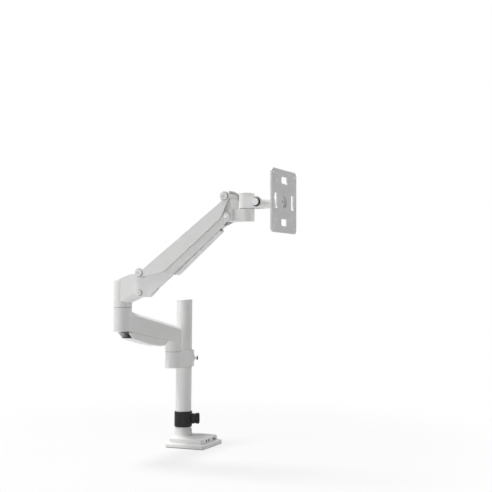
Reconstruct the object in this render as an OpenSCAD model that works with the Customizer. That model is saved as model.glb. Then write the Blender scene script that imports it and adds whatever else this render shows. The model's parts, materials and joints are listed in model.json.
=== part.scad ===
// Spring-balanced monitor arm on a round pole.
// Origin: pole axis at the desk surface. +Z up, the user sits towards -Y.
// The lower arm points to -X and the upper arm points to -Y at rest.

/* [Base] */
// Width of the base flange, left to right
base_w = 93; // [84:1:110]
// Reach of the flange in front of the pole axis
base_front = 74.6; // [66:0.2:90]
// Reach of the flange behind the pole axis
base_back = 20.6; // [20.4:0.2:30]
// Thickness of the flange
flange_t = 8; // [6:0.5:10]
// Thickness of the rubber pad under the flange
pad_t = 1.5; // [1:0.1:3]
// Height of the hub housing above the flange
housing_h = 11; // [10:0.5:16]
// How far the flange stands out past the housing
flange_lip = 8; // [6:0.5:10]
// Wall of the hub housing
housing_wall = 2.2; // [1.6:0.1:2.6]
// Height of the socket that hides the foot of the pole
socket_h = 23.5; // [16:0.5:28]

/* [Pole] */
// Outside diameter of the pole
pole_d = 35; // [32:0.5:38]
// Wall of the pole
pole_wall = 2; // [1.5:0.1:3]
// Height of the top of the pole tube above the desk
pole_top = 318; // [300:1:420]
// Thickness of the visible rim of the pole cap
cap_t = 3; // [2:0.5:5]

/* [Stop collar] */
// Height of the underside of the collar at rest
collar_z = 40; // [38:1:60]
// Height of the collar
collar_h = 34; // [28:1:38]
// Diameter of the thumb knob
knob_d = 24; // [18:1:28]
// Direction in which the knob and the clamp screw point
screw_dir = -60; // [-75:5:-30]

/* [Height bracket] */
// Height of the underside of the bracket at rest
bracket_z = 173; // [170:1:200]
// Height of the bracket
bracket_h = 35; // [33:1:42]
// Distance from the pole axis to the lower arm's pivot
pivot_x = 48; // [46:0.5:60]
// Outside diameter of the pivot and elbow hubs
hub_d = 36; // [35:0.5:38]
// Diameter of the pivot and elbow shafts
shaft_d = 18; // [14:0.5:18]

/* [Lower arm] */
// Distance from the pivot to the elbow
lower_len = 203; // [190:1:260]
// Height of the arm's underside above the bracket at the pivot
arm_under = 18.5; // [16:0.5:22]
// Rise of the arm's underside from pivot to elbow
arm_rise = 36; // [30:1:40]
// Height of the arm's section at the pivot
arm_h_pivot = 36; // [34:1:40]
// Height of the arm's section at the elbow
arm_h_elbow = 41; // [38:1:46]
// Distance from the arm's underside to the seam of the elbow
elbow_seam = 47.5; // [46.5:0.5:54]

/* [Upper arm] */
// Distance between the pins of one link
link_len = 235; // [220:1:236]
// Angle of the links above the horizontal at rest
lift_angle = 38; // [38:1:38]
// Distance between the upper and the lower pin
pin_gap = 38.4; // [37:0.2:42]
// Distance from the elbow axis forward to the pins
pin_reach = 51.8; // [50:0.2:56]
// Height of the upper pin above the elbow seam
pin_rise = 68; // [66:0.5:72]
// Overall width of the upper arm
arm_w = 50; // [48:0.5:56]
// Wall of the upper link
link_wall = 2.5; // [2:0.1:2.8]
// Diameter of the link pins
pin_d = 8; // [6:0.5:8.5]

/* [Gas spring] */
// Outside diameter of the cylinder
gas_d = 18; // [16:0.5:20]
// Diameter of the rod
rod_d = 8; // [6:0.5:9]
// Distance along the upper link from the elbow pin to the cylinder's pin
gas_anchor = 150; // [148:1:156]

/* [Head] */
// Distance from the end pins forward to the swivel axis
swivel_reach = 34.8; // [34:0.2:40]
// Distance from the swivel axis forward to the tilt axis
tilt_reach = 28; // [27:0.5:34]
// Distance from the tilt axis forward to the screen's mounting face
face_reach = 50; // [46:1:60]
// Side of the square mounting plate
plate_side = 118; // [112:1:130]
// Thickness of the mounting plate
plate_t = 3; // [2:0.5:4]
// Hole spacing of the large pattern
pattern_l = 100; // [100:1:100]
// Hole spacing of the small pattern
pattern_s = 75; // [75:1:75]
// Diameter of the pattern's holes
pattern_d = 4.6; // [4.4:0.1:5]

/* [Hidden] */

$fn = 64;
white = "#e9e9e7";
shade = "#cfcfcd";
black = "#26272a";
steel = "#a9abae";
brass = "#b59a5c";

run_fit = 0.05;      // radial gap of a shaft that turns or slides
seat_fit = 0.02;     // radial gap of a piece that is fixed in its seat
side_gap = 0.3;      // gap between faces that pass each other
seam = 0.6;          // thickness of the washers that show as seams
eps = 0.01;          // overshoot of a cut past the face it opens

// Stack of the base
flange_z = pad_t;
deck_z = pad_t + flange_t;
roof_z = deck_z + housing_h;
half_w = base_w / 2;
front_y = -base_front;
corner_r = 6;
edge = 1.6;
box_half = half_w - flange_lip;
box_front = front_y + flange_lip;
box_back = base_back - flange_lip * 0.75;

pole_r = pole_d / 2;
pole_in = pole_r - pole_wall;
bore_r = pole_r + run_fit;
socket_r = pole_r + 1.7;
ring_h = 3;
ring_gap = 0.4;
spigot_r = 8;
plug_h = 30;
desk_thread_r = 4.25;
desk_thread_len = 30;
cross_pin_r = 2;
cross_pin_z = deck_z + 28;

// Ports, board and screws of the hub
board_t = 1.2;
board_z = deck_z + 1;
port_z = board_z + board_t;
usb_x = 20;
usb_w = 13.2;
usb_h = 5.9;
usb_len = 15;
jack_x = [-15, -4];
jack_w = 6.4;
jack_len = 12;
jack_rim_r = 2.6;
inlet_y = -45;
inlet_w = 9;
inlet_h = 3.2;
inlet_len = 12;
post_x = box_half - 5;
post_front = box_front + 7;
post_back = -30;
screw_r = 1.45;
post_r = 3.4;

// Collar, liner and bracket around the pole
collar_r = pole_r + 1.9;
boss_r = pole_r + 7.1;
knob_in = boss_r + 0.4;
knob_out = knob_in + 10.6;
thumb_r = 3;
liner_t = 1.65;
liner_r = bore_r + liner_t;
ring_r = pole_r + 5;
lobe_r = hub_d / 2;
bracket_top = bracket_z + bracket_h;
shaft_r = shaft_d / 2;
bush_r = shaft_r + 2;
recess_r = 13.6;
recess_h = 9;
washer_r = 13;
washer_t = 2;
bolt_r = 4;
bolt_head_r = 6.5;
bolt_head_h = 5;
bolt_len = 20;

// Lower arm
pivot_z = bracket_top + seam;
elbow_x = pivot_x + lower_len;
under_pivot = bracket_top + arm_under;
under_elbow = under_pivot + arm_rise;
seam_z = under_elbow + elbow_seam;
arm_half = lobe_r - 0.5;
arm_edge = 6;
duct_half = 13.4;
duct_slant = 15;
duct_wall = 1.8;
duct_depth = 14;

// Elbow, pins and links
hub_z = seam_z + seam;
pin_y = -pin_reach;
pin_z = seam_z + pin_rise;
low_z = pin_z - pin_gap;
pin_r = pin_d / 2;
hub_top = pin_z - 2;
tongue_half = arm_w / 2 - link_wall - 3;
link_in = arm_w / 2 - link_wall;
low_out = link_in - 0.5;
low_in = tongue_half + side_gap;
lobe_a = 10;
lobe_b = 9;
lobe_c = 7;
groove_in = 16.6;
spacer_r = 6.5;
ca = cos(lift_angle);
sa = sin(lift_angle);
end_y = pin_y - link_len * ca;
end_z = pin_z + link_len * sa;
end_low_z = end_z - pin_gap;

// Upper link section: heights from the pin line
roof_rear = 17.2;
roof_front = 9.6;
cheek_rear = 1.4;
cheek_front = -3.6;
roof_half = arm_w / 2 - 10;
link_tail = -5;
link_nose = link_len + 8;

// Gas spring line from the tension block to the upper link
gas_drop = 8;
rear_fwd = 4;
rear_down = 20;
rear_y = pin_y - rear_fwd;
rear_z = pin_z - rear_down;
front_y_gas = pin_y - (gas_anchor * ca + gas_drop * sa);
front_z_gas = pin_z + gas_anchor * sa - gas_drop * ca;
gas_run = norm([front_y_gas - rear_y, front_z_gas - rear_z]);
gas_angle = atan2(front_z_gas - rear_z, rear_y - front_y_gas);
gas_pin_r = 3;
gas_body = 96;
lug_in = 5.6;
lug_out = 9.6;
block_half = 14.2;
block_h = 20.6;
block_hole_r = 8.2;
pocket_half = 14.5;
tension_y = pin_y + 8.2;
tension_r = 2;

// Head
swivel_y = end_y - swivel_reach;
tilt_y = swivel_y - tilt_reach;
face_y = tilt_y - face_reach;
tilt_z = end_z - 12;
hub_drop = 8.6;
end_hub_h = 23;
end_hub_z = end_low_z - hub_drop;
end_hub_top = end_hub_z + end_hub_h;
head_r = 15;
pan_r = 6;
pan_z = end_hub_top + seam;
pan_top = tilt_z + 18;
barrel_r = 10.5;
barrel_half = 12.7;
ear_in = 13;
ear_out = 18;
ear_r = 11;
tilt_boss_r = 12;
disc_r = 24;
disc_t = 8.6;
plate_corner = 9;

// ---------- shapes that repeat ----------

// Rectangle with round corners, from x0 to x1 and y0 to y1
module round_rect(x0, x1, y0, y1, r) {
    translate([x0 + r, y0]) square([x1 - x0 - 2 * r, y1 - y0]);
    translate([x0, y0 + r]) square([x1 - x0, y1 - y0 - 2 * r]);
    for (x = [x0 + r, x1 - r], y = [y0 + r, y1 - r]) translate([x, y]) circle(r);
}

// Block with round corners and a chamfered top edge
module chamfered_block(x0, x1, y0, y1, r, z0, z1, cut) {
    hull() {
        translate([0, 0, z0]) linear_extrude(z1 - z0 - cut)
            round_rect(x0, x1, y0, y1, r, $fn = 32);
        translate([0, 0, z1 - eps]) linear_extrude(eps)
            round_rect(x0 + cut, x1 - cut, y0 + cut, y1 - cut, r - cut * 0.6, $fn = 32);
    }
}

// Cylinder from z0 to z1
module rod(r, z0, z1) {
    translate([0, 0, z0]) cylinder(r = r, h = z1 - z0);
}

// Ring from z0 to z1
module tube(r_out, r_in, z0, z1) {
    difference() {
        rod(r_out, z0, z1);
        rod(r_in, z0 - 1, z1 + 1);
    }
}

// Outline around two circles on the X axis, the first at -gap
module two_lobes(r1, r2, gap) {
    k = (r2 - r1) / gap;
    c = sqrt(1 - k * k);
    translate([-gap, 0]) circle(r1);
    circle(r2);
    polygon([[-gap - k * r1, c * r1], [-k * r2, c * r2],
        [-k * r2, -c * r2], [-gap - k * r1, -c * r1]]);
}

// Children drawn along +X point away from the pole in the knob's direction
module radial(z) {
    translate([0, 0, z]) rotate([0, 0, screw_dir]) rotate([0, 90, 0]) children();
}

module at_pivot() translate([-pivot_x, 0, 0]) children();
module at_elbow() translate([-elbow_x, 0, 0]) children();

// Side view frame: X forward to the user, Y up, Z to the left of the arm
module side_frame(y, z) translate([-elbow_x, y, z]) rotate([90, 0, -90]) children();

// Side view frame turned to the links' angle about a pin
module link_frame(y, z) side_frame(y, z) rotate([0, 0, lift_angle]) children();

// Extrusion across the arm, the same to both sides
module across(half) linear_extrude(2 * half, center = true) children();

// Pin across the arm
module cross_rod(r, half) cylinder(r = r, h = 2 * half, center = true);

// Cylinder of one side and its mirror
module both_sides(z0, z1, r) {
    for (k = [0, 1]) mirror([0, 0, k]) translate([0, 0, z0]) cylinder(r = r, h = z1 - z0);
}

// ---------- base ----------

module screw_places() {
    for (x = [-post_x, post_x], y = [post_front, post_back]) translate([x, y, 0]) children();
}

module desk_pad() {
    color(black) difference() {
        linear_extrude(pad_t)
            round_rect(-half_w + 2, half_w - 2, front_y + 2, base_back - 1, corner_r - 2);
        rod(spigot_r + side_gap, -1, pad_t + 1);
        screw_places() rod(post_r, -1, pad_t + 1);
    }
}

module base_flange() {
    color(white) difference() {
        union() {
            chamfered_block(-half_w, half_w, front_y, base_back, corner_r, flange_z, deck_z, edge);
            for (x = [-26, 26], y = [box_front + 6, box_front + 34])
                translate([x, y, 0]) rod(2, deck_z - 1, board_z);
        }
        rod(spigot_r + seat_fit, 0, deck_z + 1);
        screw_places() rod(screw_r + run_fit, 0, deck_z + 1);
        screw_places() rod(2.9, 0, flange_z + 3);
    }
}

module base_housing() {
    color(white) difference() {
        union() {
            difference() {
                chamfered_block(-box_half, box_half, box_front, box_back, corner_r - 1,
                    deck_z, roof_z, 2.4);
                translate([0, 0, deck_z - 1]) linear_extrude(housing_h + 1 - housing_wall)
                    round_rect(-box_half + housing_wall, box_half - housing_wall,
                        box_front + housing_wall, box_back - housing_wall, 2.5);
            }
            screw_places() rod(post_r, deck_z, roof_z - 1);
        }
        screw_places() rod(screw_r + run_fit, deck_z - 1, roof_z - housing_wall);
        rod(socket_r + side_gap, deck_z - 1, roof_z + 1);
        translate([usb_x - usb_w / 2 - 0.4, box_front - 1, port_z - 0.2])
            cube([usb_w + 0.8, housing_wall + 2, usb_h + 0.6]);
        for (x = jack_x) translate([x, box_front - 1, port_z + usb_h / 2])
            rotate([-90, 0, 0]) cylinder(r = jack_rim_r + 0.2, h = housing_wall + 2);
        translate([box_half - housing_wall - 1, inlet_y - inlet_w / 2 - 0.4, port_z - 0.2])
            cube([housing_wall + 2, inlet_w + 0.8, inlet_h + 0.6]);
    }
}

module hub_board() {
    color("#2f6b45") translate([-29, box_front + 3, board_z]) cube([58, 34, board_t]);
}

module usb_port() {
    color(steel) translate([usb_x, box_front + 0.3, port_z]) difference() {
        translate([-usb_w / 2, 0, 0]) cube([usb_w, usb_len, usb_h]);
        translate([-usb_w / 2 + 0.4, -1, 0.4]) cube([usb_w - 0.8, usb_len - 1, usb_h - 2.6]);
        translate([-usb_w / 2 + 0.4, -1, usb_h - 1])
            cube([usb_w - 0.8, usb_len - 1, 0.6]);
    }
}

module audio_jacks() {
    color(black) for (x = jack_x) translate([x, box_front, 0]) difference() {
        union() {
            translate([-jack_w / 2, housing_wall + 0.2, port_z]) cube([jack_w, jack_len, usb_h]);
            translate([0, 0.4, port_z + usb_h / 2]) rotate([-90, 0, 0])
                cylinder(r = jack_rim_r, h = housing_wall + 1);
        }
        translate([0, -1, port_z + usb_h / 2]) rotate([-90, 0, 0]) cylinder(r = 1.8, h = jack_len);
    }
}

module inlet_port() {
    color(steel) translate([box_half - 0.3, inlet_y, port_z]) difference() {
        translate([-inlet_len, -inlet_w / 2, 0]) cube([inlet_len, inlet_w, inlet_h]);
        translate([-inlet_len + 3, -inlet_w / 2 + 0.4, 0.4])
            cube([inlet_len, inlet_w - 0.8, inlet_h - 0.8]);
    }
}

module base_screws() {
    color(steel) screw_places() {
        rod(screw_r, flange_z + 1, roof_z - housing_wall - 0.5);
        rod(2.8, flange_z + 0.6, flange_z + 2.8);
    }
}

// ---------- pole ----------

module pole_socket() {
    top = deck_z + socket_h;
    color(white) difference() {
        union() {
            rod(socket_r, deck_z, top);
            translate([0, 0, roof_z]) cylinder(r1 = socket_r + 1, r2 = socket_r, h = 2.5);
        }
        rod(pole_r + seat_fit, deck_z - 1, top + 1);
    }
}

module socket_ring() {
    z0 = deck_z + socket_h + ring_gap;
    color(white) tube(socket_r - 0.7, pole_r + seat_fit, z0, z0 + ring_h);
}

module pole_plug() {
    color(steel) difference() {
        union() {
            rod(spigot_r, 0, deck_z + 1);
            rod(pole_in - seat_fit, deck_z, deck_z + plug_h);
        }
        rod(desk_thread_r, -1, desk_thread_len);
        translate([0, 0, cross_pin_z]) rotate([0, 90, 0])
            cylinder(r = cross_pin_r + seat_fit, h = 2 * pole_d, center = true);
    }
}

module pole() {
    color(white) difference() {
        tube(pole_r, pole_in, deck_z, pole_top);
        translate([0, 0, cross_pin_z]) rotate([0, 90, 0])
            cylinder(r = cross_pin_r + seat_fit, h = 2 * pole_d, center = true);
    }
}

// Cross pin that holds the pole on its plug, above the desk thread
module pole_pin() {
    color(steel) translate([0, 0, cross_pin_z]) rotate([0, 90, 0])
        cylinder(r = cross_pin_r, h = pole_d - 1.2, center = true);
}

module pole_cap() {
    color(white) rotate_extrude() polygon([[0, pole_top], [0, pole_top + cap_t],
        [pole_r - 1, pole_top + cap_t], [pole_r - 0.2, pole_top + cap_t - 0.8],
        [pole_r - 0.2, pole_top], [pole_in - 0.1, pole_top], [pole_in - 0.1, pole_top - 10],
        [pole_in - 2.1, pole_top - 10], [pole_in - 2.1, pole_top]]);
}

// ---------- stop collar ----------

collar_top = collar_z + collar_h;
knob_z = collar_z + collar_h / 2;
flutes = 30;

module stop_collar() {
    color(black) difference() {
        union() {
            rod(collar_r - 0.5, collar_z + 1, collar_top - 1);
            rod(collar_r, collar_z + 1, collar_z + 5);
            rod(collar_r, collar_top - 5, collar_top - 1);
            translate([0, 0, collar_z]) cylinder(r1 = collar_r - 0.9, r2 = collar_r, h = 1);
            translate([0, 0, collar_top - 1]) cylinder(r1 = collar_r, r2 = collar_r - 0.9, h = 1);
            for (i = [0 : flutes - 1]) rotate([0, 0, i * 360 / flutes])
                translate([collar_r - 1.2, -1, collar_z + 4]) cube([1.1, 2, collar_h - 8]);
            radial(knob_z) translate([-10.5, -7.5, pole_r + 0.3])
                cube([21, 15, boss_r - pole_r - 0.3]);
        }
        rod(bore_r, collar_z - 1, collar_top + 1);
        radial(knob_z) cylinder(r = 4.4 + seat_fit, h = boss_r + 1);
    }
}

module collar_insert() {
    color(brass) radial(knob_z) difference() {
        translate([0, 0, pole_r + 1]) cylinder(r = 4.4, h = boss_r - pole_r - 1);
        cylinder(r = thumb_r + run_fit, h = boss_r + 1);
    }
}

module stop_knob() {
    ribs = 14;
    rim = knob_d / 2;
    color(black) radial(knob_z) difference() {
        union() {
            translate([0, 0, knob_in]) cylinder(r = rim - 1.2, h = knob_out - knob_in);
            translate([0, 0, knob_in + 3.5]) cylinder(r = rim - 0.6, h = 6);
            for (i = [0 : ribs - 1]) rotate([0, 0, i * 360 / ribs])
                translate([rim - 1.7, 0, knob_in + 3])
                    cylinder(r = 1.7, h = knob_out - knob_in - 4.2);
        }
        cylinder(r = thumb_r + seat_fit, h = knob_out - 3);
    }
}

module stop_screw() {
    color(steel) radial(knob_z) translate([0, 0, pole_r + 0.35])
        cylinder(r = thumb_r, h = knob_out - 3.2 - pole_r - 0.35);
}

// ---------- height bracket ----------

clamp_z = bracket_z + bracket_h * 0.49;
clamp_r = 2.5;

module pole_liner() {
    color(black) {
        tube(liner_r, bore_r, bracket_z, bracket_top - 0.4);
        tube(liner_r + 1.3, bore_r, bracket_z - 0.8, bracket_z - side_gap / 2);
    }
}

module height_bracket() {
    color(white) difference() {
        union() {
            translate([0, 0, bracket_z]) linear_extrude(bracket_h)
                two_lobes(lobe_r, ring_r, pivot_x);
            radial(clamp_z) translate([0, 0, ring_r - 4]) cylinder(r1 = 10, r2 = 6, h = 5.6);
        }
        rod(liner_r + run_fit, bracket_z - 1, bracket_top + 1);
        radial(clamp_z) cylinder(r = clamp_r + run_fit, h = ring_r + 6);
        at_pivot() {
            rod(recess_r, bracket_z - 1, bracket_z + recess_h);
            rod(bush_r + seat_fit, bracket_z, bracket_top + 1);
        }
    }
}

module clamp_screw() {
    color(steel) radial(clamp_z) {
        translate([0, 0, liner_r + 0.35]) cylinder(r = clamp_r, h = ring_r + 6 - liner_r);
        translate([0, 0, ring_r + 5.4]) difference() {
            cylinder(r = 4, h = 3.6);
            translate([0, 0, 1.6]) cylinder(r = 1.7, h = 3, $fn = 6);
        }
    }
}

module pivot_bush() {
    color(brass) at_pivot() tube(bush_r, shaft_r + run_fit, bracket_z + recess_h + 0.3, bracket_top);
}

module pivot_washer() {
    color(black) at_pivot() tube(lobe_r - 0.6, shaft_r + run_fit, bracket_top, bracket_top + seam);
}

// ---------- lower arm ----------

// Section of the arm at distance x from the pole, as a thin slab
module arm_slab(x, z0, z1, half, cut) {
    translate([-x, 0, 0]) rotate([90, 0, 90]) linear_extrude(eps)
        polygon([[-half, z0], [half, z0], [half, z1 - cut], [half - cut, z1],
            [cut - half, z1], [-half, z1 - cut]]);
}

function under_at(x) = under_pivot + arm_rise * (x - pivot_x) / lower_len;
function over_at(x) = under_at(x) + arm_h_pivot
    + (arm_h_elbow - arm_h_pivot) * (x - pivot_x) / lower_len;

module hub_post(z0, z1, cut) {
    rotate_extrude() polygon([[0, z0], [lobe_r, z0], [lobe_r, z1 - cut],
        [lobe_r - cut * 0.35, z1 - cut * 0.35], [lobe_r - cut, z1], [0, z1]]);
}

module lower_arm() {
    c0 = pivot_x + lobe_r + 7;
    c1 = elbow_x - lobe_r - 5;
    color(white) difference() {
        union() {
            hull() {
                arm_slab(pivot_x, under_pivot, over_at(pivot_x), arm_half, arm_edge);
                arm_slab(elbow_x, under_elbow, over_at(elbow_x), arm_half, arm_edge);
            }
            at_pivot() hub_post(pivot_z, over_at(pivot_x) - 1.5, 6);
            at_elbow() hub_post(under_elbow, seam_z, 0.4);
        }
        hull() {
            arm_slab(c0, 0, over_at(c0) - 4, arm_half - 4, arm_edge);
            arm_slab(c1, 0, over_at(c1) - 4, arm_half - 4, arm_edge);
        }
        at_pivot() rod(shaft_r + seat_fit, pivot_z - 1, pivot_z + 34);
        at_elbow() {
            rod(recess_r, under_elbow - 1, under_elbow + recess_h);
            rod(bush_r + seat_fit, under_elbow, seam_z + 1);
        }
    }
}

module pivot_shaft() {
    color(steel) at_pivot() difference() {
        rod(shaft_r, bracket_z + recess_h + 0.2, pivot_z + 33.8);
        rod(bolt_r + seat_fit, bracket_z, bracket_z + recess_h + bolt_len);
    }
}

// Screw with a broad washer head that keeps a hub on its shaft
module keeper(face) {
    rod(bolt_r, face - washer_t - 1, face + bolt_len - 2);
    rod(washer_r, face - washer_t, face - 0.1);
    difference() {
        rod(bolt_head_r, face - washer_t - bolt_head_h, face - washer_t);
        translate([0, 0, face - washer_t - bolt_head_h - 1]) cylinder(r = 3.5, h = 4, $fn = 6);
    }
}

module pivot_screw() {
    color(steel) at_pivot() keeper(bracket_z + recess_h + 0.1);
}

module elbow_bush() {
    color(brass) at_elbow() tube(bush_r, shaft_r + run_fit, under_elbow + recess_h + 0.3, seam_z);
}

module elbow_washer() {
    color(black) at_elbow() tube(lobe_r - 0.5, shaft_r + run_fit, seam_z, seam_z + seam);
}

// Clip-on duct under the lower arm, open at the elbow end
duct_x0 = pivot_x + lobe_r + 25;
duct_x1 = elbow_x - lobe_r - 1;

module duct_side(drop, skin) {
    x0 = duct_x0;
    x1 = duct_x1;
    polygon([[-x1 - skin, under_at(x1) - drop + 1.5], [-x1 + 60, under_at(x1 - 60) - drop - 1.5],
        [-x0 - 34, under_at(x0 + 34) - drop - 1], [-x0 - 13, under_at(x0 + 13) - drop + 3],
        [-x0, under_at(x0) - skin], [-x0, under_at(x0) + 12],
        [-x1 - duct_slant - skin, under_at(x1) + 1], [-x1 - duct_slant - skin, under_at(x1)]]);
}

module cable_cover() {
    top = 0.3;
    color(white) difference() {
        intersection() {
            rotate([90, 0, 0]) across(duct_half) duct_side(duct_depth, 0);
            hull() {
                arm_slab(duct_x0 - 5, 0, under_at(duct_x0 - 5) - top, duct_half, 0);
                arm_slab(duct_x1 + duct_slant + 1, 0, under_at(duct_x1 + duct_slant + 1) - top,
                    duct_half, 0);
            }
        }
        rotate([90, 0, 0]) across(duct_half - duct_wall) translate([-duct_wall, 0])
            duct_side(duct_depth - duct_wall, duct_wall + 1);
    }
}

// ---------- elbow bracket ----------

// Rounded plate around the two pins of one end, in the side view frame of the upper pin
module pin_plate(back, front) {
    circle(lobe_c);
    translate([0, -pin_gap]) circle(lobe_b);
    polygon([[back, -pin_gap], [front, -pin_gap], [front, -8], [lobe_c, 0], [back, 0]]);
}

// Clearance in both faces of a tongue for the boss of the upper link
module boss_groove() {
    difference() {
        both_sides(groove_in, arm_w, lobe_a + 0.6);
        cross_rod(lobe_c, arm_w);
    }
}

// Cross section of the neck at a distance forward of the elbow axis, as a thin slab
module neck_slab(y, z0, z1, half, cut_low, cut_top) {
    translate([-elbow_x, -y, 0]) rotate([90, 0, 0]) linear_extrude(eps)
        polygon([[-half + cut_low, z0], [half - cut_low, z0], [half, z0 + cut_low],
            [half, z1 - cut_top], [half - cut_top, z1], [-half + cut_top, z1],
            [-half, z1 - cut_top], [-half, z0 + cut_low]]);
}

module elbow_bracket() {
    neck_end = pin_reach - 9.2;
    color(white) difference() {
        union() {
            at_elbow() rotate_extrude() polygon([[0, hub_z], [lobe_r, hub_z],
                [lobe_r, hub_top - 14], [lobe_r - 1.6, hub_top - 9.5], [lobe_r - 5.5, hub_top - 4.5],
                [lobe_r - 11, hub_top - 1], [3, hub_top], [0, hub_top]]);
            hull() {
                neck_slab(0, hub_z + 1, hub_top, lobe_r - 1, 8, 10);
                neck_slab(neck_end, low_z - 7.5, pin_z + 7.5, tongue_half, 7, 8);
                neck_slab(pin_reach - 26, low_z - 15, pin_z + 7, tongue_half - 0.7, 8, 9);
            }
            side_frame(pin_y, pin_z) across(tongue_half) pin_plate(-12, 14);
        }
        side_frame(pin_y, pin_z) {
            cross_rod(pin_r + run_fit, arm_w);
            translate([0, -pin_gap, 0]) cross_rod(pin_r + run_fit, arm_w);
            boss_groove();
            across(pocket_half) translate([-13.2, -33]) square([40, 26.2]);
            across(lug_in + 0.2) polygon([[-3, -33], [8, -33], [14, -36], [30, -46], [30, 16],
                [13, 1.5], [3, -9], [-3, -9]]);
            across(arm_w) sweep_ring();
        }
        translate([-elbow_x, tension_y, 0]) {
            rod(tension_r + run_fit, low_z + 4, pin_z + 20);
            rod(3.8, pin_z + 1.5, pin_z + 20);
        }
        at_elbow() rod(shaft_r + seat_fit, hub_z - 1, seam_z + 36);
    }
}

// Path that the rear edge of the upper link takes over the neck
module sweep_ring() {
    intersection() {
        difference() {
            circle(18.6);
            circle(14.2);
        }
        translate([-20, 4.4]) square([40, 20]);
    }
}

module elbow_shaft() {
    color(steel) at_elbow() difference() {
        rod(shaft_r, under_elbow + recess_h + 0.2, seam_z + 35.8);
        rod(bolt_r + seat_fit, under_elbow, under_elbow + recess_h + bolt_len);
    }
}

module elbow_screw() {
    color(steel) at_elbow() keeper(under_elbow + recess_h + 0.1);
}

// Pin with a round head on each side of the arm
module headed_pin(reach, head_r, head_t) {
    cross_rod(pin_r, reach + side_gap + 1);
    difference() {
        both_sides(reach + side_gap, reach + side_gap + head_t, head_r);
        both_sides(reach + side_gap + head_t * 0.45, reach + 10, head_r * 0.42, $fn = 6);
    }
}

module elbow_top_pin() {
    color(shade) side_frame(pin_y, pin_z) headed_pin(arm_w / 2, 7, 2);
}

module elbow_low_pin() {
    color(shade) side_frame(pin_y, low_z) headed_pin(low_out, 5.2, 1.8);
}

// Washers that fill the gap between a tongue and the upper link
module link_spacers() {
    difference() {
        both_sides(low_in, link_in - side_gap, spacer_r);
        cross_rod(pin_r + run_fit, arm_w);
    }
}

module elbow_spacers() {
    color(black) side_frame(pin_y, pin_z) link_spacers();
}

module tension_screw() {
    color(steel) translate([-elbow_x, tension_y, 0]) difference() {
        union() {
            rod(tension_r, low_z + 4.6, pin_z + 2);
            rod(3.6, pin_z + 1.6, pin_z + 5);
        }
        translate([0, 0, pin_z + 3]) cylinder(r = 1.8, h = 4, $fn = 6);
    }
}

// Block on the tension screw that carries the rear pin of the gas spring
module tension_block() {
    color(brass) difference() {
        side_frame(rear_y, rear_z) across(block_half)
            translate([-16.2, -block_h / 2]) square([26, block_h]);
        side_frame(rear_y, rear_z) {
            cross_rod(block_hole_r, arm_w);
            across(5.6) translate([-9, -20]) square([40, 40]);
        }
        translate([-elbow_x, tension_y, 0]) rod(tension_r + run_fit, low_z, pin_z + 20);
    }
}

// ---------- upper link and gas spring ----------

module link_section(s, cheek, roof, skin) {
    h = arm_w / 2 - skin;
    r = roof_half - skin * 0.6;
    translate([s, 0, 0]) rotate([0, 90, 0]) linear_extrude(eps)
        polygon([[h, -90], [h, cheek], [r, roof - skin], [-r, roof - skin], [-h, cheek],
            [-h, -90]]);
}

module link_outline() {
    polygon([[link_tail, roof_rear + 2], [link_tail, -6], [0, 0.3 - lobe_a], [44, -31.5],
        [link_len - 33, -27.3], [link_len, -11], [link_nose, -6], [link_nose + 2.5, 2],
        [link_nose, roof_front + 2]]);
    circle(lobe_a);
    translate([link_len, 0]) circle(lobe_a);
}

module link_solid(skin) {
    hull() {
        link_section(link_tail - 8, cheek_rear, roof_rear, skin);
        link_section(link_nose + 6, cheek_front, roof_front, skin);
    }
}

// Two lugs under the roof that carry the front pin of the gas spring
module gas_lugs() {
    difference() {
        intersection() {
            across(lug_out) {
                translate([gas_anchor - 7, -gas_drop]) square([14, 40]);
                translate([gas_anchor, -gas_drop]) circle(7);
            }
            link_solid(link_wall - 0.5);
        }
        across(lug_in) translate([gas_anchor - 10, -gas_drop - 10]) square([20, 60]);
    }
}

module upper_link() {
    color(white) link_frame(pin_y, pin_z) difference() {
        union() {
            difference() {
                union() {
                    intersection() {
                        link_solid(0);
                        across(arm_w / 2) link_outline();
                    }
                    for (s = [0, link_len]) translate([s, 0, 0]) cross_rod(lobe_a, arm_w / 2);
                }
                link_solid(link_wall);
                for (s = [0, link_len]) translate([s, 0, 0]) cross_rod(lobe_c + 0.4, link_in);
            }
            gas_lugs();
        }
        for (s = [0, link_len]) translate([s, 0, 0]) cross_rod(pin_r + run_fit, arm_w);
        translate([gas_anchor, -gas_drop, 0]) cross_rod(gas_pin_r + seat_fit, arm_w / 4);
    }
}

// Frame along the gas spring, from its rear pin
module gas_frame() side_frame(rear_y, rear_z) rotate([0, 0, gas_angle]) children();

module gas_cylinder() {
    g = gas_d / 2;
    color(black) gas_frame() difference() {
        union() {
            translate([gas_run - gas_body - 10, 0, 0]) rotate([0, 90, 0])
                cylinder(r = g, h = gas_body);
            translate([gas_run - 12, 0, 0]) rotate([0, 90, 0]) cylinder(r = 5, h = 6);
            translate([gas_run, 0, 0]) cross_rod(7, 5);
        }
        translate([gas_run, 0, 0]) cross_rod(gas_pin_r + seat_fit, 8);
        translate([gas_run - gas_body - 11, 0, 0]) rotate([0, 90, 0])
            cylinder(r = rod_d / 2 + run_fit, h = gas_body - 6);
    }
}

module gas_front_pin() {
    color(steel) gas_frame() translate([gas_run, 0, 0]) cross_rod(gas_pin_r, lug_out);
}

module gas_rod() {
    color(steel) gas_frame() difference() {
        union() {
            translate([4, 0, 0]) rotate([0, 90, 0])
                cylinder(r = rod_d / 2, h = gas_run - gas_body + 46);
            cross_rod(6, 5);
        }
        cross_rod(gas_pin_r + seat_fit, 8);
    }
}

module gas_rear_pin() {
    color(steel) gas_frame() cross_rod(gas_pin_r, block_half - 0.2);
}

// ---------- lower link ----------

// Point of the lower link given forward and up of its rear pin at rest
function turned(u, w) = [u * ca + w * sa, w * ca - u * sa];

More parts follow.
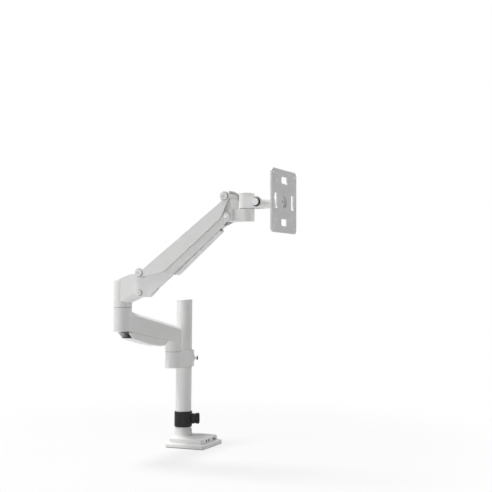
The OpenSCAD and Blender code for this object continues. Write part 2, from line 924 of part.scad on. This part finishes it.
reach_r = pin_gap - spacer_r - 0.9;

module low_outline() {
    b = lobe_b - 0.3;
    polygon(concat([turned(-b, 0), turned(0, -b), turned(18.6, -lobe_b + 0.8)],
        [[link_len - 22, -12.2], [link_len, -b], [link_len, b],
        [link_len - 25, 24], turned(11.6, 40)],
        [for (a = [70 : 6 : 106]) turned(reach_r * cos(a), reach_r * sin(a))]));
    circle(lobe_b);
    translate([link_len, 0]) circle(lobe_b);
}

// Underside of the web between the two cheeks, from the pin line
web_s0 = 20;
web_s1 = link_len - 24;
web_t = 2.2;

function web_at(s) = -4.5 + 4 * (s - web_s0) / (web_s1 - web_s0);

// The cheek to the right of the arm ends at the web, the other one hangs deeper
module shallow_side() {
    lip = 0.5;
    polygon([[-20, -7.6], [0, -7.6], [web_s0 + 4, web_at(web_s0 + 4) - lip],
        [web_s1, web_at(web_s1) - lip], [link_len, -7.6], [link_len + 20, -7.6], [link_len + 20, -60], [-20, -60]]);
}

module lower_link() {
    color(shade) link_frame(pin_y, low_z) difference() {
        across(low_out) low_outline();
        across(low_in) difference() {
            translate([-40, -60]) square([link_len + 80, 120]);
            polygon([[web_s0, web_at(web_s0)], [web_s1, web_at(web_s1)],
                [web_s1, web_at(web_s1) + web_t], [web_s0, web_at(web_s0) + web_t]]);
        }
        translate([0, 0, -arm_w]) linear_extrude(arm_w - low_in) shallow_side();
        cross_rod(pin_r + run_fit, arm_w);
        translate([link_len, 0, 0]) cross_rod(pin_r + run_fit, arm_w);
    }
}

// Clip-on duct under the web of the lower link
clip_half = 10;
clip_wall = 1.8;
clip_s0 = 76;
clip_s1 = 205;
clip_low0 = -17;
clip_low1 = -10.4;

module clip_side() {
    polygon([[clip_s0, web_at(clip_s0)], [clip_s0, clip_low0 + 3], [clip_s0 + 2, clip_low0],
        [clip_s1, clip_low1], [clip_s1, web_at(clip_s1)]]);
}

module clip_inside() {
    polygon([[clip_s0 - 5, web_at(clip_s0) + 5], [clip_s0 - 5, clip_low0 + clip_wall],
        [clip_s0 + 2, clip_low0 + clip_wall], [clip_s1, clip_low1 + clip_wall],
        [clip_s1 + 5, clip_low1 + clip_wall], [clip_s1 + 5, web_at(clip_s1) + 5]]);
}

module cable_clip() {
    color(white) link_frame(pin_y, low_z) translate([0, -side_gap / 2, 0]) difference() {
        across(clip_half) clip_side();
        across(clip_half - clip_wall) clip_inside();
    }
}

// ---------- end bracket and head ----------

module end_bracket() {
    color(white) difference() {
        union() {
            side_frame(end_y, end_z) across(tongue_half) {
                pin_plate(-lobe_c, lobe_b);
                translate([0, -pin_gap - hub_drop]) square([12, end_hub_h]);
            }
            translate([-elbow_x, swivel_y, end_hub_z]) linear_extrude(end_hub_h) {
                circle(head_r);
                translate([-head_r, 0]) square([2 * head_r, swivel_reach - 9]);
            }
        }
        side_frame(end_y, end_z) {
            cross_rod(pin_r + run_fit, arm_w);
            translate([0, -pin_gap, 0]) cross_rod(pin_r + run_fit, arm_w);
            boss_groove();
        }
        translate([-elbow_x, swivel_y, 0]) rod(pan_r + seat_fit, end_hub_z - 1, end_hub_top + 1);
    }
}

module end_top_pin() {
    color(shade) side_frame(end_y, end_z) headed_pin(arm_w / 2, 7, 2);
}

module end_low_pin() {
    color(shade) side_frame(end_y, end_low_z) cross_rod(pin_r, low_out);
}

module end_spacers() {
    color(black) side_frame(end_y, end_z) link_spacers();
}

module at_swivel() translate([-elbow_x, swivel_y, 0]) children();

module swivel_shaft() {
    color(steel) at_swivel() rod(pan_r, end_hub_z + 0.5, pan_top - 6);
}

module swivel_washer() {
    color(black) at_swivel() tube(head_r - 0.5, pan_r + run_fit, end_hub_top, pan_z);
}

// Side view frame at the tilt axis
module tilt_frame() side_frame(tilt_y, tilt_z) children();

module swivel_knuckle() {
    z1 = pan_z + side_gap;
    color(white) difference() {
        union() {
            at_swivel() rod(head_r, z1, pan_top);
            tilt_frame() across(ear_out) {
                circle(ear_r);
                translate([-tilt_reach, -ear_r]) square([tilt_reach, 2 * ear_r]);
            }
        }
        tilt_frame() {
            across(ear_in) translate([-barrel_r - 1, -40]) square([60, 80]);
            cross_rod(4 + run_fit, arm_w);
        }
        at_swivel() {
            rod(pan_r + run_fit, pan_z, pan_top + 1);
            rod(11, pan_top - 4, pan_top + 1);
        }
    }
}

module swivel_cap() {
    color(white) at_swivel() {
        rod(10.8, pan_top - 3.6, pan_top - 0.4);
    }
}

module tilt_block() {
    color(white) difference() {
        union() {
            tilt_frame() cross_rod(barrel_r, barrel_half);
            tilt_frame() rotate([0, 90, 0]) cylinder(r = tilt_boss_r, h = face_reach - plate_t - disc_t);
        }
        tilt_frame() cross_rod(4 + run_fit, arm_w);
        tilt_frame() translate([14, 0, 0]) rotate([0, 90, 0])
            cylinder(r = bolt_r + run_fit, h = face_reach);
        difference() {
            tilt_frame() rotate([0, 90, 0]) cylinder(r = tilt_boss_r + 1, h = barrel_r + 2);
            tilt_frame() cross_rod(barrel_r, barrel_half);
            tilt_frame() translate([0, -barrel_r, -barrel_half])
                cube([barrel_r + 3, 2 * barrel_r, 2 * barrel_half]);
        }
    }
}

module tilt_bolt() {
    color(steel) tilt_frame() {
        cross_rod(4, ear_out + 4);
        for (k = [0, 1]) mirror([0, 0, k]) translate([0, 0, ear_out + 2])
            cylinder(r = 7, h = 4, $fn = k == 0 ? 64 : 6);
    }
}

module tilt_washers() {
    color(black) tilt_frame() difference() {
        both_sides(ear_out + side_gap / 3, ear_out + 1.9, 8.5);
        cross_rod(4 + run_fit, arm_w);
    }
}

// Frame on the mounting face: X to the right, Y up, Z towards the arm
module face_frame() translate([-elbow_x, face_y, tilt_z]) rotate([-90, 0, 0]) children();

module vesa_plate() {
    h = plate_side / 2;
    color(white) face_frame() difference() {
        linear_extrude(plate_t) difference() {
            round_rect(-h, h, -h, h, plate_corner);
            circle(12);
            for (p = [pattern_l / 2, pattern_s / 2], x = [-p, p], y = [-p, p])
                translate([x, y]) circle(pattern_d / 2);
            for (a = [0 : 90 : 270]) rotate(a) translate([40, 0])
                round_rect(-7, 6, -14, 14, 3);
        }
    }
}

module vesa_hub() {
    color(white) face_frame() difference() {
        union() {
            rod(disc_r, plate_t, plate_t + 3);
            translate([0, 0, plate_t + 3]) cylinder(r1 = disc_r, r2 = 15, h = disc_t - 3 - side_gap);
        }
        rod(bolt_r + run_fit, 0, 20);
        rod(9.5, 0, plate_t + 4.5);
    }
}

module plate_bolt() {
    color(steel) face_frame() difference() {
        union() {
            rod(9, plate_t + 0.4, plate_t + 4.4);
            rod(bolt_r, plate_t + 3, plate_t + disc_t + 18);
        }
        translate([0, 0, plate_t]) cylinder(r = 3.5, h = 3, $fn = 6);
    }
}

desk_pad();
base_flange();
base_housing();
hub_board();
usb_port();
audio_jacks();
inlet_port();
base_screws();
pole_socket();
socket_ring();
pole_plug();
pole();
pole_pin();
pole_cap();
stop_collar();
collar_insert();
stop_knob();
stop_screw();
pole_liner();
height_bracket();
clamp_screw();
pivot_bush();
pivot_washer();
lower_arm();
pivot_shaft();
pivot_screw();
elbow_bush();
elbow_washer();
cable_cover();
elbow_bracket();
elbow_shaft();
elbow_screw();
elbow_top_pin();
elbow_low_pin();
elbow_spacers();
tension_screw();
tension_block();
upper_link();
gas_cylinder();
gas_front_pin();
gas_rod();
gas_rear_pin();
lower_link();
cable_clip();
end_bracket();
end_top_pin();
end_low_pin();
end_spacers();
swivel_shaft();
swivel_washer();
swivel_knuckle();
swivel_cap();
tilt_block();
tilt_bolt();
tilt_washers();
vesa_plate();
vesa_hub();
plate_bolt();
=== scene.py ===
"""Looks of a spring-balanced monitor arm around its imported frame."""
import json
import math

import bmesh  # noqa: E402
import bpy  # noqa: E402
from mathutils import Matrix, Vector  # noqa: E402


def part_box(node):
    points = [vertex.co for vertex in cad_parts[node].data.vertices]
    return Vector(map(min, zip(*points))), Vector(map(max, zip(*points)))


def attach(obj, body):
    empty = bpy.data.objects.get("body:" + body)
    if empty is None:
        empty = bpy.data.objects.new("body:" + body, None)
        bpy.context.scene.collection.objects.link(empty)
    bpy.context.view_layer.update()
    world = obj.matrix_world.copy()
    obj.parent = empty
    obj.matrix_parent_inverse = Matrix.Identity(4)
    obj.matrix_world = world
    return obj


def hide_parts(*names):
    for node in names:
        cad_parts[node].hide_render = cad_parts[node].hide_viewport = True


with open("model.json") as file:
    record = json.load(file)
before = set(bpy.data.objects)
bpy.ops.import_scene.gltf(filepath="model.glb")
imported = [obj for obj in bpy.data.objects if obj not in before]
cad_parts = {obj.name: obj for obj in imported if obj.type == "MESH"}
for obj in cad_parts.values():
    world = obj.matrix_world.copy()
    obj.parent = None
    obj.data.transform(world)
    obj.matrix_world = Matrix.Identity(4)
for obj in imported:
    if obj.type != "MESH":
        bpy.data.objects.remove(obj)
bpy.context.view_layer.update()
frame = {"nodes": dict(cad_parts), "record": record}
NODES = frame["nodes"]
RECORD = frame["record"]
BODY = {n: b for b, ns in RECORD["behaviour"]["bodies"].items() for n in ns}
SLOT = {p["node"]: p["material_slot"] for p in RECORD["subparts"]}
MM = 0.001
SHARP_TURN = 25.0
VOLUME_SLACK = 0.03
BOX_SLACK = 0.02 * MM


# ---------- materials ----------

class Tree:
    """A Principled material and short ways to add nodes to it."""

    def __init__(self, name, rough=0.5, metal=0.0, spec=0.5):
        self.mat = bpy.data.materials.new(name)
        self.mat.use_nodes = True
        self.nodes = self.mat.node_tree.nodes
        self.links = self.mat.node_tree.links
        self.bsdf = self.nodes["Principled BSDF"]
        self.bsdf.inputs["Roughness"].default_value = rough
        self.bsdf.inputs["Metallic"].default_value = metal
        self.bsdf.inputs["Specular IOR Level"].default_value = spec
        self.coord = self.nodes.new("ShaderNodeTexCoord").outputs["Object"]

    def add(self, kind, ins=None, **props):
        n = self.nodes.new(kind)
        for k, v in props.items():
            setattr(n, k, v)
        for k, v in (ins or {}).items():
            if isinstance(v, bpy.types.NodeSocket):
                self.links.new(v, n.inputs[k])
            else:
                n.inputs[k].default_value = v
        return n

    def noise(self, scale, detail=3.0, stretch=(1, 1, 1), rough=0.55):
        vec = self.coord
        if stretch != (1, 1, 1):
            vec = self.add("ShaderNodeMapping",
                           {"Vector": vec, "Scale": stretch}).outputs["Vector"]
        return self.add("ShaderNodeTexNoise", {"Vector": vec, "Scale": scale, "Detail": detail,
                                               "Roughness": rough}).outputs["Fac"]

    def spread(self, value, low, high, a=0.3, b=0.7):
        return self.add("ShaderNodeMapRange", {"Value": value, "From Min": a, "From Max": b,
                                               "To Min": low, "To Max": high}).outputs["Result"]

    def mix(self, fac, a, b):
        n = self.add("ShaderNodeMix", data_type="RGBA")
        for sock, v in ((n.inputs[0], fac), (n.inputs[6], a), (n.inputs[7], b)):
            if isinstance(v, bpy.types.NodeSocket):
                self.links.new(v, sock)
            elif isinstance(v, (tuple, list)):
                sock.default_value = (*v[:3], 1.0)
            else:
                sock.default_value = v
        return n.outputs[2]

    def bump(self, *layers):
        normal = None
        for height, strength, dist in layers:
            ins = {"Height": height, "Strength": strength, "Distance": dist}
            if normal is not None:
                ins["Normal"] = normal
            normal = self.add("ShaderNodeBump", ins).outputs["Normal"]
        self.links.new(normal, self.bsdf.inputs["Normal"])

    def out(self, name, socket):
        self.links.new(socket, self.bsdf.inputs[name])


def edge_mask(t, low, high):
    """Where the surface turns sharply outwards, broken up by a noise."""
    point = t.add("ShaderNodeNewGeometry").outputs["Pointiness"]
    edge = t.spread(point, 0.0, 1.0, low, high)
    patch = t.spread(t.noise(55.0, 4.0), 0.0, 1.0, 0.42, 0.62)
    return t.add("ShaderNodeMath", {0: edge, 1: patch}, operation="MULTIPLY").outputs[0]


def coating(name, colour, rough, grain, depth, fade=0.035, wear=0.25, wear_to=None, spec=0.5):
    """A painted or moulded skin: fine grain, slow mottling, handling marks, rubbed edges."""
    t = Tree(name, rough, 0.0, spec)
    fine = t.noise(grain, 2.0, rough=0.5)
    broad = t.noise(grain * 0.22, 2.0)
    slow = t.noise(14.0, 3.0)
    dark = tuple(c * (1 - fade) for c in colour)
    warm = (min(1.0, colour[0] * 1.006), colour[1], colour[2] * (1 - fade * 0.35))
    col = t.mix(t.spread(slow, 0.0, 1.0), colour, warm)
    col = t.mix(t.spread(fine, 0.0, 0.5, 0.45, 0.7), col, dark)
    col = t.mix(edge_mask(t, 0.52, 0.62), col, wear_to or tuple(min(1, c * 1.04) for c in colour))
    t.out("Base Color", col)
    smear = t.noise(70.0, 5.0, (1, 1, 0.35), 0.6)
    t.out("Roughness", t.spread(smear, rough - 0.05, rough + 0.09))
    t.bump((broad, 0.22, depth * 1.6), (fine, wear, depth))
    return t.mat


def metal(name, colour, rough, lay, stretch, dull=0.25):
    """Turned or drawn metal: fine lay marks, some lighter, and dull patches."""
    t = Tree(name, rough, 1.0)
    marks = t.noise(lay, 4.0, stretch, 0.65)
    patch = t.noise(90.0, 4.0)
    col = t.mix(t.spread(patch, 0.0, dull), colour, tuple(c * 0.62 for c in colour))
    col = t.mix(t.spread(marks, 0.0, 0.22), col, tuple(min(1, c * 1.18) for c in colour))
    t.out("Base Color", col)
    t.out("Roughness", t.spread(marks, rough - 0.07, rough + 0.1))
    t.bump((marks, 0.18, 0.00003))
    return t.mat


def board(name):
    """Solder mask with tracks and pads."""
    t = Tree(name, 0.35)
    cells = t.add("ShaderNodeTexBrick", {"Vector": t.coord, "Scale": 160.0, "Mortar Size": 0.03,
                                         "Color1": (0.012, 0.10, 0.045, 1),
                                         "Color2": (0.010, 0.085, 0.04, 1),
                                         "Mortar": (0.03, 0.2, 0.09, 1)})
    t.out("Base Color", cells.outputs["Color"])
    t.out("Roughness", t.spread(t.noise(300.0), 0.28, 0.45))
    t.bump((cells.outputs["Fac"], 0.2, 0.00004))
    return t.mat


WHITE = (0.83, 0.83, 0.82)
MATS = {
    "white_cast": coating("powder_cast", WHITE, 0.46, 1500.0, 0.00005),
    "white_steel": coating("powder_steel", WHITE, 0.42, 1700.0, 0.00003, 0.025, 0.18),
    "white_plastic": coating("moulded_white", (0.84, 0.84, 0.832), 0.5, 2400.0, 0.00003, 0.02, 0.2),
    "black_plastic": coating("moulded_black", (0.011, 0.011, 0.012), 0.42, 2200.0, 0.00005, 0.25,
                             0.3, (0.035, 0.035, 0.036), 0.32),
    "rubber_pad": coating("foam_rubber", (0.03, 0.03, 0.03), 0.85, 900.0, 0.0001, 0.3, 0.6,
                          (0.06, 0.06, 0.06), 0.25),
    "black_steel": coating("gloss_black", (0.016, 0.016, 0.017), 0.2, 600.0, 0.00001, 0.1, 0.1,
                           (0.05, 0.05, 0.05)),
    "bright_steel": metal("zinc_steel", (0.62, 0.63, 0.64), 0.3, 900.0, (1, 1, 6)),
    "brass": metal("turned_brass", (0.72, 0.56, 0.28), 0.3, 900.0, (1, 1, 6)),
    "board": board("circuit_board"),
}
MATS["white_pin"] = coating("powder_pin", WHITE, 0.4, 1900.0, 0.00002, 0.03, 0.2)
# Dark grey for the rings round the pin heads: painted shade of the gaps round the heads.
PIN_GAP_SHADE = coating("painted_gap_shade", (0.09, 0.09, 0.092), 0.7, 1500.0, 0.00004, 0.2, 0.2, None, 0.3)


# ---------- mesh helpers ----------

def finish_mesh(bm, name, mat, smooth=34.0):
    me = bpy.data.meshes.new(name)
    bm.to_mesh(me)
    bm.free()
    me.materials.clear()
    me.materials.append(mat)
    me.polygons.foreach_set("use_smooth", [True] * len(me.polygons))
    me.set_sharp_from_angle(angle=math.radians(smooth))
    ob = bpy.data.objects.new(name, me)
    bpy.context.scene.collection.objects.link(ob)
    mod = ob.modifiers.new("normals", "WEIGHTED_NORMAL")
    mod.keep_sharp = True
    mod.weight = 80
    return ob


def seat(ob, node):
    """The piece rides with the node's body and stands for the node."""
    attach(ob, BODY[node])
    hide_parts(node)
    return ob


def clean_copy(node):
    """The node's mesh with its flat faces joined."""
    bm = bmesh.new()
    bm.from_mesh(NODES[node].data)
    bmesh.ops.remove_doubles(bm, verts=bm.verts, dist=2e-6)
    bmesh.ops.dissolve_limit(bm, angle_limit=math.radians(0.8), verts=bm.verts[:],
                             edges=bm.edges[:])
    return bm


def round_edges(bm, width):
    """Bevel each edge that turns by more than SHARP_TURN degrees."""
    sharp = [e for e in bm.edges
             if len(e.link_faces) == 2 and e.calc_face_angle(0) > math.radians(SHARP_TURN)]
    bmesh.ops.bevel(bm, geom=sharp, offset=width, segments=3, profile=0.5, affect="EDGES",
                    clamp_overlap=True, loop_slide=True, miter_outer="SHARP")


def softened(node, width, mat):
    """The node's own shape with its edges rounded, as a cast or moulded piece has them.

    A rounding that changes the volume too much or leaves the node's box is dropped.
    """
    bm = clean_copy(node)
    low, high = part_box(node)
    before = bm.calc_volume()
    round_edges(bm, width * MM)
    after = bm.calc_volume()
    out = max(max(low[i] - v.co[i], v.co[i] - high[i]) for v in bm.verts for i in range(3))
    if abs(after / before - 1) > VOLUME_SLACK or out > BOX_SLACK:
        print("SOFTEN", node, "volume", round(after / before, 4), "out mm", round(out / MM, 3))
        bm.free()
        bm = clean_copy(node)
    return seat(finish_mesh(bm, node + "_skin", mat), node)


# Width of each node's rounded edges, in mm
SOFT = {
    "desk_pad": 0.4, "base_flange": 0.8, "base_housing": 0.9, "hub_board": 0.15, "usb_port": 0.12,
    "audio_jacks": 0.25, "inlet_port": 0.12, "base_screws": 0.2, "pole_socket": 0.35,
    "socket_ring": 0.2, "pole_plug": 0.3, "pole": 0.4, "pole_pin": 0.2, "pole_cap": 0.3,
    "stop_collar": 0.3, "collar_insert": 0.2, "stop_knob": 0.5, "stop_screw": 0.2,
    "pole_liner": 0.3, "height_bracket": 0.9, "clamp_screw": 0.3, "pivot_bush": 0.3,
    "pivot_washer": 0.15, "lower_arm": 1.0, "pivot_shaft": 0.4, "pivot_screw": 0.3,
    "elbow_bush": 0.3, "elbow_washer": 0.15, "cable_cover": 0.7, "elbow_bracket": 1.0,
    "elbow_shaft": 0.4, "elbow_screw": 0.3, "elbow_top_pin": 0.4, "elbow_low_pin": 0.4,
    "elbow_spacers": 0.2, "tension_screw": 0.2, "tension_block": 0.4, "upper_link": 0.8,
    "gas_cylinder": 0.5, "gas_front_pin": 0.2, "gas_rod": 0.3, "gas_rear_pin": 0.2,
    "lower_link": 0.6, "cable_clip": 0.6, "end_bracket": 0.9, "end_top_pin": 0.4,
    "end_low_pin": 0.3, "end_spacers": 0.2, "swivel_shaft": 0.3, "swivel_washer": 0.15,
    "swivel_knuckle": 0.9, "swivel_cap": 0.5, "tilt_block": 0.8, "tilt_bolt": 0.4,
    "tilt_washers": 0.3, "vesa_plate": 0.4, "vesa_hub": 0.6, "plate_bolt": 0.3,
}
WHITE_PINS = {"elbow_top_pin", "elbow_low_pin", "end_top_pin"}
for part, soft in SOFT.items():
    softened(part, soft, MATS["white_pin" if part in WHITE_PINS else SLOT[part]])


# ---------- added details ----------

# The way that the collar's knob and the clamp screw point
FRONT = Vector((0.5, -0.866025, 0))
# Height of a pin's head over the face that it sits on, in mm
HEAD_HEIGHT = 2.3
# Ribs: how many, half sizes and depth under the collar's rim in mm, and the boss's cosine
RIB_COUNT = 24
RIB_HALF = (0.35, 1.1, 13.5)
RIB_SINK = 0.1
BOSS_SPREAD = 0.72


def lathe(name, profile, start, axis, mat, steps=64):
    """Turn a closed profile of (radius, height) pairs, in mm, about the axis from start."""
    bm = bmesh.new()
    way = Vector(axis).normalized()
    turn = Vector((0, 0, 1)).rotation_difference(way).to_matrix()
    rings = []
    for k in range(steps):
        a = 2 * math.pi * k / steps
        rings.append([bm.verts.new(Vector(start) + turn @ Vector(
            (r * MM * math.cos(a), r * MM * math.sin(a), h * MM))) for r, h in profile])
    for k in range(steps):
        one, two = rings[k], rings[(k + 1) % steps]
        for i in range(len(profile)):
            j = (i + 1) % len(profile)
            bm.faces.new((one[i], two[i], two[j], one[j]))
    bmesh.ops.remove_doubles(bm, verts=bm.verts, dist=1e-7)
    bmesh.ops.recalc_face_normals(bm, faces=bm.faces)
    return finish_mesh(bm, name, mat, 40.0)


def added(ob, node):
    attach(ob, BODY[node])
    return ob


def reach(node, axis):
    """How far the node's mesh goes along the axis, in metres."""
    way = Vector(axis).normalized()
    ob = NODES[node]
    return max((ob.matrix_world @ v.co).dot(way) for v in ob.data.vertices)


def middle_of(node):
    low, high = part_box(node)
    return (Vector(low) + Vector(high)) / 2


def outer_end(node, axis):
    """The middle of the node's outer face, for a node on a level axis through the pole."""
    end = axis * reach(node, axis)
    end.z = middle_of(node).z
    return end


def pin_shade_rings(node):
    """A thin dark grey ring round the head at each end of a cross pin: painted shade of the gap
    round the head.
    """
    low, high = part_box(node)
    y, z = middle_of(node).yz
    radius = (high[1] - low[1]) / 2 / MM
    ring = [(radius - 0.3, -0.5), (radius + 0.55, -0.5), (radius + 0.75, -0.25),
            (radius + 0.7, 0.2), (radius + 0.45, 0.4), (radius - 0.3, 0.4)]
    head = HEAD_HEIGHT * MM
    for tag, x, way in (("near", low[0] + head, -1), ("far", high[0] - head, 1)):
        added(lathe(node + "_shade_ring_" + tag, ring, (x, y, z), (way, 0, 0), PIN_GAP_SHADE), node)


def bars(name, places, size, mat):
    """Rounded bars, each at a matrix, as one mesh; size is half lengths in mm."""
    bm = bmesh.new()
    for place in places:
        cube = bmesh.ops.create_cube(bm, size=2.0)
        bmesh.ops.scale(bm, vec=Vector(size) * MM, verts=cube["verts"])
        bmesh.ops.transform(bm, matrix=place, verts=cube["verts"])
    bmesh.ops.bevel(bm, geom=bm.edges[:], offset=min(size) * 0.6 * MM, segments=2,
                    profile=0.5, affect="EDGES", clamp_overlap=True)
    return finish_mesh(bm, name, mat)


def clamp_grip():
    """A ridged dark grip round the clamp screw's head."""
    band = [(3.9, -2.9), (4.2, -2.8), (4.35, -2.4), (4.2, -2.0), (4.35, -1.6), (4.2, -1.2),
            (4.35, -0.8), (4.15, -0.4), (3.9, -0.35)]
    added(lathe("clamp_grip", band, outer_end("clamp_screw", FRONT), FRONT,
                MATS["black_plastic"]), "clamp_screw")


def knob_disc():
    """A dished disc on the end of the stop knob."""
    disc = [(0.0, -0.4), (8.2, -0.4), (8.2, 0.1), (7.9, 0.35), (6.6, 0.35), (6.3, 0.12),
            (5.7, 0.12), (5.4, 0.35), (2.0, 0.4), (0.0, 0.42)]
    added(lathe("knob_disc", disc, outer_end("stop_knob", FRONT), FRONT,
                MATS["black_plastic"]), "stop_knob")


def collar_ribs():
    """Shallow upright ribs round the stop collar, except where its boss is."""
    height = middle_of("stop_collar").z
    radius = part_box("stop_collar")[1][1] - RIB_SINK * MM
    places = []
    for k in range(RIB_COUNT):
        a = 2 * math.pi * k / RIB_COUNT
        out = Vector((math.cos(a), math.sin(a), 0))
        if out.dot(FRONT) <= BOSS_SPREAD:
            places.append(Matrix.Translation(out * radius + Vector((0, 0, height)))
                          @ Matrix.Rotation(a, 4, "Z"))
    added(bars("collar_ribs", places, RIB_HALF, MATS["black_plastic"]), "stop_collar")


# Painted shade: a dark grey ring round each pin head, where the gap would be in shadow.
for pin in ("elbow_top_pin", "elbow_low_pin", "end_top_pin", "end_low_pin"):
    pin_shade_rings(pin)
clamp_grip()
knob_disc()
collar_ribs()


# ---------- stage, light and camera ----------

def backdrop_shader(nodes, links, lit, out):
    """Plain white as the camera and mirrors see it, and lit with the object's shadow."""
    path = nodes.new("ShaderNodeLightPath")
    seen = nodes.new("ShaderNodeMath")
    seen.operation = "ADD"
    seen.use_clamp = True
    links.new(path.outputs["Is Camera Ray"], seen.inputs[0])
    links.new(path.outputs["Is Glossy Ray"], seen.inputs[1])
    more = nodes.new("ShaderNodeMath")
    more.operation = "ADD"
    more.use_clamp = True
    links.new(seen.outputs[0], more.inputs[0])
    links.new(path.outputs["Is Transmission Ray"], more.inputs[1])
    mix = nodes.new("ShaderNodeMixShader")
    links.new(more.outputs[0], mix.inputs[0])
    links.new(lit, mix.inputs[1])
    links.new(mix.outputs[0], out)
    return mix


def make_world():
    world = bpy.data.worlds.new("world")
    bpy.context.scene.world = world
    world.use_nodes = True
    n, k = world.node_tree.nodes, world.node_tree.links
    n.clear()
    fill = n.new("ShaderNodeBackground")
    fill.inputs["Color"].default_value = (0.95, 0.97, 1.0, 1)
    fill.inputs["Strength"].default_value = 0.25
    white = n.new("ShaderNodeBackground")
    white.inputs["Color"].default_value = (1, 1, 1, 1)
    white.inputs["Strength"].default_value = 1.0
    end = n.new("ShaderNodeOutputWorld")
    mix = backdrop_shader(n, k, fill.outputs[0], end.inputs["Surface"])
    k.new(white.outputs[0], mix.inputs[2])


def floor_material():
    """Lit near the object, so that it keeps the shadow, and fading to plain white further out."""
    mat = bpy.data.materials.new("floor")
    mat.use_nodes = True
    n, k = mat.node_tree.nodes, mat.node_tree.links
    n.clear()
    lit = n.new("ShaderNodeBsdfDiffuse")
    lit.inputs["Color"].default_value = (0.8, 0.8, 0.8, 1)
    glow = n.new("ShaderNodeEmission")
    far = n.new("ShaderNodeVectorMath")
    far.operation = "LENGTH"
    k.new(n.new("ShaderNodeTexCoord").outputs["Object"], far.inputs[0])
    fade = n.new("ShaderNodeMapRange")
    fade.interpolation_type = "SMOOTHSTEP"
    for key, v in (("From Min", 0.12), ("From Max", 0.9), ("To Min", 0.72), ("To Max", 1.0)):
        fade.inputs[key].default_value = v
    k.new(far.outputs["Value"], fade.inputs["Value"])
    part = n.new("ShaderNodeMixShader")
    k.new(fade.outputs["Result"], part.inputs[0])
    k.new(lit.outputs[0], part.inputs[1])
    k.new(glow.outputs[0], part.inputs[2])
    end = n.new("ShaderNodeOutputMaterial")
    mix = backdrop_shader(n, k, lit.outputs[0], end.inputs["Surface"])
    k.new(part.outputs[0], mix.inputs[2])
    return mat


def make_floor():
    bm = bmesh.new()
    bmesh.ops.create_grid(bm, x_segments=2, y_segments=2, size=9.0)
    me = bpy.data.meshes.new("floor")
    bm.to_mesh(me)
    bm.free()
    floor = bpy.data.objects.new("floor", me)
    floor.location = (0, 0, -0.4 * MM)
    bpy.context.scene.collection.objects.link(floor)
    me.materials.append(floor_material())


def lamp(name, place, aim, size, watts, colour=(1, 1, 1)):
    data = bpy.data.lights.new(name, "AREA")
    data.shape = "DISK"
    data.size = size
    data.energy = watts
    data.color = colour
    ob = bpy.data.objects.new(name, data)
    ob.location = place
    ob.rotation_euler = (Vector(aim) - Vector(place)).to_track_quat("-Z", "Y").to_euler()
    bpy.context.scene.collection.objects.link(ob)


def make_camera():
    """A long lens with its picture shifted."""
    pitch, yaw = 0.0819, 0.3835
    data = bpy.data.cameras.new("camera")
    data.sensor_width = 36.0
    data.lens = 67.60976
    data.shift_x = -0.1098374
    data.shift_y = -0.0873374
    data.clip_end = 30.0
    cam = bpy.data.objects.new("camera", data)
    cam.location = (-1.839, -1.022, 0.3665)
    cam.rotation_euler = (math.pi / 2 + pitch, 0.0, yaw - math.pi / 2)
    bpy.context.scene.collection.objects.link(cam)
    bpy.context.scene.camera = cam


bpy.context.scene.view_settings.view_transform = "Standard"
make_world()
make_floor()
middle = (-0.14, -0.14, 0.3)
lamp("key", (-0.45, 0.55, 2.5), middle, 0.8, 56.0, (1.0, 0.99, 0.98))
lamp("side", (-1.9, 1.7, 0.85), middle, 0.9, 14.0, (0.98, 0.99, 1.0))
lamp("rim", (1.5, -1.6, 1.6), middle, 1.2, 4.0)
make_camera()
